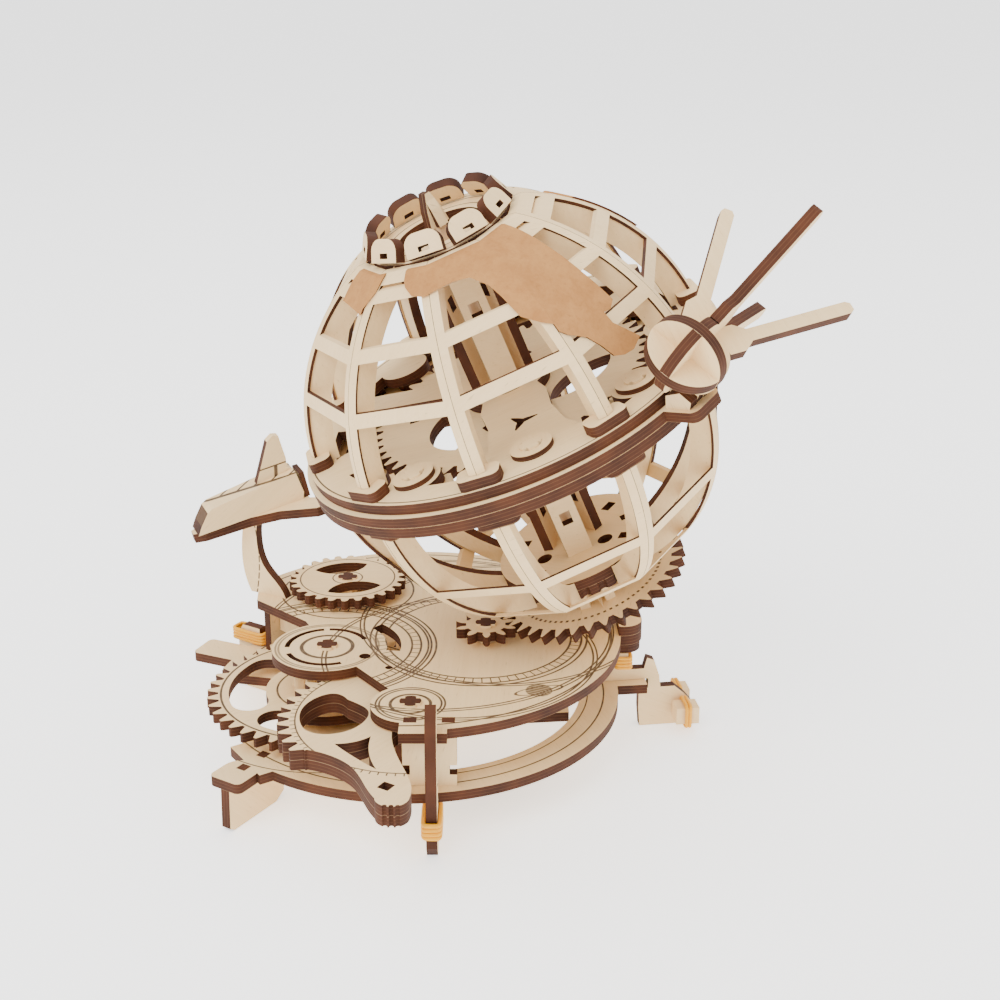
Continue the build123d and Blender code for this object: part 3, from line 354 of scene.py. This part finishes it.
def dial_lines(net):
    """Engraving on the dial: rings round the gears, tick scales, orbits and a planet."""
    marks = []
    side_r = net.radius_from(SIDE)
    side_az = net.azimuth_from(SIDE)
    marks.append(side_r.line(0.0084, 0.00090))
    for radius in (16.0, 17.0):
        marks.append(side_r.line(radius / 1000, 0.00042) * 0.70)
    for radius in (28.0, 31.0, 33.4, 34.4, 36.0):
        marks.append(side_r.line(radius / 1000, 0.00044))
    ticks = (side_az / 6.0).fract().line(0.5, 0.075, 0.03)
    marks.append(ticks * side_r.step(0.0280, 0.0282) * side_r.step(0.0311, 0.0309))
    sun = at(22.0, -4.2, 0)
    sun_r = net.radius_from(sun)
    sun_az = net.azimuth_from(sun)
    for radius in (30.8, 34.3, 36.1):
        marks.append(sun_r.line(radius / 1000, 0.00046))
    ticks = (sun_az / 5.0).fract().line(0.5, 0.085, 0.03)
    marks.append(ticks * sun_r.step(0.0308, 0.0310) * sun_r.step(0.0344, 0.0342))
    for centre, radius in ((at(16, -18), 43.5), (at(30, 8), 47.0), (at(8, 2), 58.0)):
        marks.append(net.radius_from(centre).line(radius / 1000, 0.00040))
        marks.append(net.radius_from(centre).line((radius + 1.3) / 1000, 0.00034))
    marks.append(net.radius_from(at(0, 0)).line(0.0664, 0.00044))
    lobe_r = net.radius_from(LEVER)
    marks.append(lobe_r.line(0.0062, 0.00070))
    for radius in (9.6, 10.7):
        marks.append(lobe_r.line(radius / 1000, 0.00040))
    moon_r = net.radius_from(MOON)
    marks.append(moon_r.line(0.0232, 0.00042))
    planet = at(41.3, -43.4)
    planet_r = net.radius_from(planet)
    stripes = (net.dot(net.place, Vector((0.35, 0.94, 0))) / 0.0011).fract().line(0.5, 0.42, 0.12)
    marks.append(planet_r.step(0.0043, 0.0041) * (stripes * 0.5 + 0.45))
    along = net.dot(net.vector("SUBTRACT", net.place, tuple(planet)).outputs[0], Vector((0.94, 0.34, 0)))
    across = net.dot(net.vector("SUBTRACT", net.place, tuple(planet)).outputs[0], Vector((-0.34, 0.94, 0)))
    ellipse = (along * along / (0.0078 ** 2) + across * across / (0.0023 ** 2))
    marks.append(ellipse.line(1.0, 0.16, 0.05))
    return marks


def base_lines(net):
    """Engraving on the base plate: two rings inside the rim and a ring round the side gear."""
    rim = net.radius_from(at(0, 0))
    side_r = net.radius_from(SIDE)
    return [rim.line(0.0643, 0.00036), rim.line(0.0589, 0.00026), side_r.line(0.0445, 0.00026)]


def side_lines(net):
    """Engraved circles on the side gear."""
    side_r = net.radius_from(SIDE)
    return [side_r.line(0.0355, 0.00046), side_r.line(0.0170, 0.00044)]


def moon_lines(net):
    """Engraved circles on the crescent wheel."""
    return [net.radius_from(MOON).line(0.0166, 0.00026), net.radius_from(MOON).line(0.0052, 0.00026)]


def lever_lines(net):
    """Engraved circles and an arc on the lever."""
    r = net.radius_from(LEVER)
    az = net.azimuth_from(LEVER)
    ticks = (az / 4.0).fract().line(0.5, 0.10, 0.03)
    ticks = ticks * r.step(0.0354, 0.0355) * r.step(0.0371, 0.0370)
    return [r.line(0.0058, 0.00026), r.line(0.0354, 0.00028), ticks]


def axial_radius(net):
    """Distance from the globe's axis."""
    offset = net.vector("SUBTRACT", net.place, tuple(CENTRE)).outputs[0]
    crossed = net.vector("CROSS_PRODUCT", offset, tuple(AXIS)).outputs[0]
    return net.length(crossed)


def axial_azimuth(net):
    """Azimuth round the globe's axis in degrees, from the low side."""
    side = AXIS.cross(DOWNHILL)
    offset = net.vector("SUBTRACT", net.place, tuple(CENTRE)).outputs[0]
    return net.math("ARCTAN2", net.dot(offset, side), net.dot(offset, DOWNHILL)) * (180 / math.pi)


def carrier_lines(net):
    """Engraved circle near the rim and round the hub of the carrier plates."""
    r = axial_radius(net)
    return [r.line(0.0100, 0.00026), r.line(0.0664, 0.00028)]


def tilted_lines(net):
    """The dotted scale of the tilted gear."""
    r = axial_radius(net)
    dots = (axial_azimuth(net) / 5.0).fract().line(0.5, 0.30, 0.08)
    return [r.line(0.0250, 0.0007) * dots, r.line(0.0090, 0.00026)]


def cap_lines(net):
    """Engraved circles on the pole cap."""
    r = axial_radius(net)
    return [r.line(0.0164, 0.00026), r.line(0.0206, 0.00026)]


def stand_lines(net):
    """A dashed line along the stand."""
    height = net.dot(net.place, Vector((0, 0, 1)))
    dashes = (height / 0.0032).fract().line(0.5, 0.55, 0.08)
    low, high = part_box("shuttle_stand")
    middle = net.dot(net.place, Vector((0.883, -0.469, 0))) - (low + high).dot(Vector((0.883, -0.469, 0))) / 2
    bow = (height - (low.z + high.z) / 2)
    return [(middle + bow * bow * 9.0).line(-0.0016, 0.00030) * dashes]


def shuttle_lines(net):
    """Engraved panel outlines along the shuttle's body and a line under the windows."""
    low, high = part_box("shuttle_body")
    middle = (low + high) / 2
    along_axis = Vector((0.883, -0.469, 0))
    offset = net.vector("SUBTRACT", net.place, tuple(middle)).outputs[0]
    along = net.dot(offset, along_axis)
    height = net.dot(offset, Vector((0, 0, 1))) - along * 0.36
    cells = (along / 0.0052).fract().line(0.5, 0.10, 0.03)
    inside = along.abs().step(0.0150, 0.0146) * height.abs().step(0.0024, 0.0022)
    rails = height.abs().line(0.0024, 0.00030) * along.abs().step(0.0150, 0.0146)
    return [cells * inside, rails]


ENGRAVING = {
    "shuttle_body": shuttle_lines,
    "dial_plate": dial_lines, "base_ring": base_lines, "side_gear": side_lines, "moon_wheel": moon_lines,
    "lever_upper_ply": lever_lines, "north_plate": carrier_lines, "south_plate": carrier_lines,
    "tilted_gear": tilted_lines, "pole_cap": cap_lines, "shuttle_stand": stand_lines,
}
TONES = {"land_sheets": 0.0, "south_plate": 0.06, "north_plate": 0.0, "rib_disc": 0.08, "toothed_disc": 0.10,
         "base_ring": 0.03, "dial_plate": -0.04, "side_gear": -0.02, "gear_hub": 0.14}
RADIAL_SHEETS = ("north_ribs", "south_ribs")
PLY_SETS = ("foot_blades", "plate_posts", "box_panels", "mast_strips", "plate_pillars")
KEY_LEAN = math.radians(62.0)


def plywood(name):
    """Laser-cut ply for one node: sanded faces, burnt edges and its engraving."""
    net = Net("ply_" + name)
    if name in RADIAL_SHEETS:
        offset = net.vector("SUBTRACT", net.place, tuple(CENTRE)).outputs[0]
        crossed = net.vector("CROSS_PRODUCT", tuple(AXIS), offset).outputs[0]
        sideways = net.vector("NORMALIZE", crossed).outputs[0]
        face = net.dot(net.normal, sideways).abs()
        normals = [AXIS]
    elif name == "pole_keys":
        offset = net.vector("SUBTRACT", net.place, tuple(CENTRE)).outputs[0]
        flat = net.vector("SCALE", tuple(AXIS))
        net.feed(net.dot(offset, AXIS), flat.inputs["Scale"])
        sideways = net.vector("SUBTRACT", offset, flat.outputs[0]).outputs[0]
        radial = net.vector("NORMALIZE", sideways).outputs[0]
        outward = net.dot(net.normal, radial) * math.sin(KEY_LEAN)
        face = (outward + net.dot(net.normal, AXIS) * math.cos(KEY_LEAN)).abs()
        normals = [AXIS, DOWNHILL]
    elif name in PLY_SETS:
        face = ply_faces(net, separate_plies(name))
        normals = face_normals(name)
    else:
        normals = face_normals(name)
        face = net.dot(net.normal, normals[0]).abs()
        for normal in normals[1:]:
            face = face.most(net.dot(net.normal, normal).abs())
    face = face.step(0.62, 0.80)
    # The extra darker tone on the radial rib sheets is painted shade, standing in for the shade on the rib
    # faces.
    tone = TONES.get(name, 0.0) + (0.10 if name in RADIAL_SHEETS else 0.0)
    wood, height = grain(net, normals[0], name, tone)
    layered = [] if name in RADIAL_SHEETS + PLY_SETS or len(normals) > 1 else normals
    burnt, roughness = charred(net, layered, name)
    marks = None
    for mark in ENGRAVING.get(name, lambda n: [])(net):
        marks = mark if marks is None else marks.most(mark)
    if marks is not None:
        uneven = (net.noise(net.place, 420.0, 2.0, 0.5) * 0.4 + 0.78).clamp()
        marks = marks * uneven
        wood = net.mix(marks * 0.94, wood, ENGRAVED)
        height = height - marks * 3.0
    colour = net.mix(face, burnt, wood)
    net.feed(colour, net.bsdf.inputs["Base Color"])
    net.feed(net.mix(face, (0.78, 0.78, 0.78), (0.60, 0.60, 0.60)), net.bsdf.inputs["Roughness"])
    net.bsdf.inputs["Specular IOR Level"].default_value = 0.28
    net.bump(height * face + roughness * face.invert() * 1.6, 0.00006, 0.75)
    return net.material


def skin_sheet(name):
    """The thin bent ply of the globe: pale radial faces and narrow burnt edges."""
    net = Net("skin_" + name)
    offset = net.vector("SUBTRACT", net.place, tuple(CENTRE)).outputs[0]
    outward = net.vector("NORMALIZE", offset).outputs[0]
    face = net.dot(net.normal, outward).abs().step(0.55, 0.78)
    wood, height = grain(net, AXIS, name, -0.02)
    burnt, roughness = charred(net, [], name)
    colour = net.mix(face, burnt, wood)
    net.feed(colour, net.bsdf.inputs["Base Color"])
    net.bsdf.inputs["Roughness"].default_value = 0.58
    net.bsdf.inputs["Specular IOR Level"].default_value = 0.30
    net.bump(height * face + roughness * face.invert(), 0.00005, 0.7)
    return net.material


def land_sheet():
    """Kraft-brown sheet with a fibrous mottle and a burnt cut edge."""
    net = Net("land_kraft")
    offset = net.vector("SUBTRACT", net.place, tuple(CENTRE)).outputs[0]
    outward = net.vector("NORMALIZE", offset).outputs[0]
    face = net.dot(net.normal, outward).abs().step(0.50, 0.76)
    mottle = net.noise(net.place, 190.0, 5.0, 0.65, 0.4)
    fibre = net.noise(net.place, 900.0, 3.0, 0.6)
    relief = net.noise(net.place, 60.0, 3.0, 0.5)
    amount = (mottle * 0.9 + fibre * 0.35 + relief * 0.4 - 0.42).clamp()
    colour = net.mix(amount, (0.500, 0.245, 0.080), (0.270, 0.105, 0.028))
    colour = net.mix(fibre.step(0.60, 0.74) * 0.30, colour, (0.24, 0.115, 0.045))
    burnt, roughness = charred(net, [], "land_sheets")
    net.feed(net.mix(face, burnt, colour), net.bsdf.inputs["Base Color"])
    net.bsdf.inputs["Roughness"].default_value = 0.82
    net.bsdf.inputs["Specular IOR Level"].default_value = 0.18
    net.bump(mottle * 0.6 + fibre * 0.5 + roughness * 0.2, 0.00010, 0.8)
    return net.material


def dowel():
    """Turned beech: straight grain along the mast with short dark pores."""
    net = Net("beech_dowel")
    along = net.dot(net.place, AXIS)
    across = net.vector("CROSS_PRODUCT", net.place, tuple(AXIS)).outputs[0]
    split = net.tree.nodes.new("ShaderNodeSeparateXYZ")
    net.feed(across, split.inputs[0])
    where = net.combine(Num(net, split.outputs[0]) * 900.0, Num(net, split.outputs[1]) * 900.0, along * 45.0)
    streak = net.noise(where, 1.0, 4.0, 0.6)
    pores = net.noise(where, 3.0, 1.0, 0.4)
    colour = net.mix(streak, (0.70, 0.50, 0.31), (0.50, 0.31, 0.165))
    colour = net.mix(pores.step(0.64, 0.74) * 0.45, colour, (0.28, 0.15, 0.07))
    net.feed(colour, net.bsdf.inputs["Base Color"])
    net.bsdf.inputs["Roughness"].default_value = 0.52
    net.bump(streak * 0.7 + pores * 0.3, 0.00006, 0.6)
    return net.material


def rubber():
    """Amber rubber band: slightly translucent and dusty, with a fine bumpy surface."""
    net = Net("amber_rubber")
    dust = net.noise(net.place, 260.0, 4.0, 0.6)
    tint = net.noise(net.place, 45.0, 2.0, 0.5)
    colour = net.mix(tint, (0.86, 0.43, 0.008), (0.72, 0.30, 0.004))
    colour = net.mix(dust.step(0.55, 0.75) * 0.12, colour, (0.86, 0.58, 0.16))
    net.feed(colour, net.bsdf.inputs["Base Color"])
    net.bsdf.inputs["Roughness"].default_value = 0.46
    net.bsdf.inputs["Specular IOR Level"].default_value = 0.42
    net.bsdf.inputs["Subsurface Weight"].default_value = 0.12
    net.bsdf.inputs["Subsurface Radius"].default_value = (0.0020, 0.0009, 0.0002)
    net.bump(dust * 0.6 + net.noise(net.place, 1400.0, 1.0, 0.4) * 0.4, 0.00004, 0.6)
    return net.material


# ---------------------------------------------------------------- materials on the CAD pieces
RUBBER = rubber()
for node_name, piece in frame["nodes"].items():
    if node_name == "rubber_bands":
        material = RUBBER
    elif node_name in ("north_skin", "south_skin"):
        material = skin_sheet(node_name)
    elif node_name == "land_sheets":
        material = land_sheet()
    elif node_name == "mast":
        material = dowel()
    else:
        material = plywood(node_name)
    piece.data.materials.clear()
    piece.data.materials.append(material)


# ---------------------------------------------------------------- rubber bands
def solid_points(piece):
    """The points of each separate solid of a CAD node."""
    mesh = bmesh.new()
    mesh.from_mesh(piece.data)
    bmesh.ops.remove_doubles(mesh, verts=mesh.verts, dist=1e-6)
    seen = set()
    islands = []
    for start in mesh.verts:
        if start in seen:
            continue
        stack, island = [start], []
        seen.add(start)
        while stack:
            vertex = stack.pop()
            island.append(vertex.co.copy())
            for edge in vertex.link_edges:
                other = edge.other_vert(vertex)
                if other not in seen:
                    seen.add(other)
                    stack.append(other)
        islands.append(island)
    mesh.free()
    return islands


def strand_loop(name, centre, across, along, up, half_a, half_b, strands, pitch, radius, waver):
    """Several turns of a stretched band, wound side by side as one closed cord each."""
    curve = bpy.data.curves.new(name, "CURVE")
    curve.dimensions = "3D"
    curve.bevel_depth = radius
    curve.bevel_resolution = 4
    curve.resolution_u = 6
    for strand in range(strands):
        lift = (strand - (strands - 1) / 2) * pitch
        spline = curve.splines.new("NURBS")
        count = 32
        spline.points.add(count - 1)
        for index in range(count):
            angle = 2 * math.pi * index / count
            c, s = math.cos(angle), math.sin(angle)
            power = 0.30
            a = math.copysign(abs(c) ** power, c) * half_a
            b = math.copysign(abs(s) ** power, s) * half_b
            wave = waver * math.sin(2 * angle + strand * 1.7)
            point = centre + across * a + along * b + up * (lift + wave)
            spline.points[index].co = (*point, 1.0)
        spline.use_cyclic_u = True
        spline.order_u = 3
    piece = bpy.data.objects.new(name, curve)
    bpy.context.scene.collection.objects.link(piece)
    curve.materials.append(RUBBER)
    return piece


# The first bands lie flat round an upright post; the others stand on edge.
UPRIGHT_BANDS = 3


def wind_bands():
    """A wound band in the space of each CAD band solid."""
    for index, island in enumerate(solid_points(frame["nodes"]["rubber_bands"])):
        up = Vector((0, 0, 1))
        best = None
        for step in range(0, 180, 2):
            angle = math.radians(step)
            u = Vector((math.cos(angle), math.sin(angle), 0))
            v = Vector((-u.y, u.x, 0))
            spans = [max(p.dot(d) for p in island) - min(p.dot(d) for p in island) for d in (u, v, up)]
            if best is None or spans[0] * spans[1] < best[0]:
                best = (spans[0] * spans[1], u, v, spans)
        _, u, v, spans = best
        mids = [(max(p.dot(d) for p in island) + min(p.dot(d) for p in island)) / 2 for d in (u, v, up)]
        centre = u * mids[0] + v * mids[1] + up * mids[2]
        directions = sorted(zip(spans, (u, v, up)), key=lambda pair: pair[0])
        (width, wind_axis), (span_a, dir_a), (span_b, dir_b) = directions
        if index < UPRIGHT_BANDS:
            wind_axis, (span_a, dir_a), (span_b, dir_b) = up, (spans[0], u), (spans[1], v)
            width = spans[2]
        strands = max(2, round(width / 0.00125))
        pitch = width / strands
        radius = pitch * 0.52
        piece = strand_loop(f"band_wound_{index}", centre, dir_a, dir_b, wind_axis,
                            span_a / 2 - radius, span_b / 2 - radius, strands, pitch, radius, 0.00008)
        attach(piece, "root")
        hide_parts("rubber_bands")


wind_bands()


# ---------------------------------------------------------------- floor, lights, camera
def floor_sheet():
    mesh = bmesh.new()
    bmesh.ops.create_grid(mesh, x_segments=2, y_segments=2, size=30.0)
    data = bpy.data.meshes.new("floor")
    mesh.to_mesh(data)
    mesh.free()
    floor = bpy.data.objects.new("floor", data)
    bpy.context.scene.collection.objects.link(floor)
    floor.location.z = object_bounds()[0][2] - 0.00005
    net = Net("floor_pale_glowing")
    tint = net.mix(net.noise(net.place, 9.0, 2.0), (0.95, 0.95, 0.95), (0.93, 0.93, 0.93))
    net.feed(tint, net.bsdf.inputs["Base Color"])
    net.bsdf.inputs["Roughness"].default_value = 0.9
    net.bsdf.inputs["Specular IOR Level"].default_value = 0.1
    # Painted light: the floor glows white, which washes out the shadows cast on it and adds bounce light.
    net.bsdf.inputs["Emission Color"].default_value = (1.0, 1.0, 1.0, 1.0)
    net.bsdf.inputs["Emission Strength"].default_value = 1.1
    data.materials.append(net.material)


def area_light(name, where, target, size, watts, colour):
    light = bpy.data.lights.new(name, "AREA")
    light.energy = watts
    light.size = size
    light.color = colour
    lamp = bpy.data.objects.new(name, light)
    bpy.context.scene.collection.objects.link(lamp)
    lamp.location = where
    lamp.rotation_euler = (target - where).to_track_quat("-Z", "Y").to_euler()


floor_sheet()
middle = Vector((0, 0, 0.09))
area_light("key", Vector((-0.55, -0.75, 1.05)), middle, 0.9, 17.0, (1.0, 0.985, 0.96))
area_light("fill", Vector((0.95, -0.55, 0.60)), middle, 1.2, 5.0, (0.97, 0.985, 1.0))
area_light("top", Vector((0.0, 0.35, 1.25)), middle, 1.2, 8.0, (1.0, 1.0, 1.0))
world = bpy.data.worlds.new("studio")
world.use_nodes = True
world.node_tree.nodes["Background"].inputs["Color"].default_value = (1.0, 1.0, 1.0, 1.0)
world.node_tree.nodes["Background"].inputs["Strength"].default_value = 1.30
bpy.context.scene.world = world

camera_data = bpy.data.cameras.new("photo_view")
camera_data.lens = 59.496
camera_data.sensor_width = 36.0
camera = bpy.data.objects.new("photo_view", camera_data)
bpy.context.scene.collection.objects.link(camera)
camera.location = at(29.133, -504.672, 277.343)
camera.rotation_euler = (math.radians(90 - 20.689), 0.0, 0.0)
bpy.context.scene.camera = camera
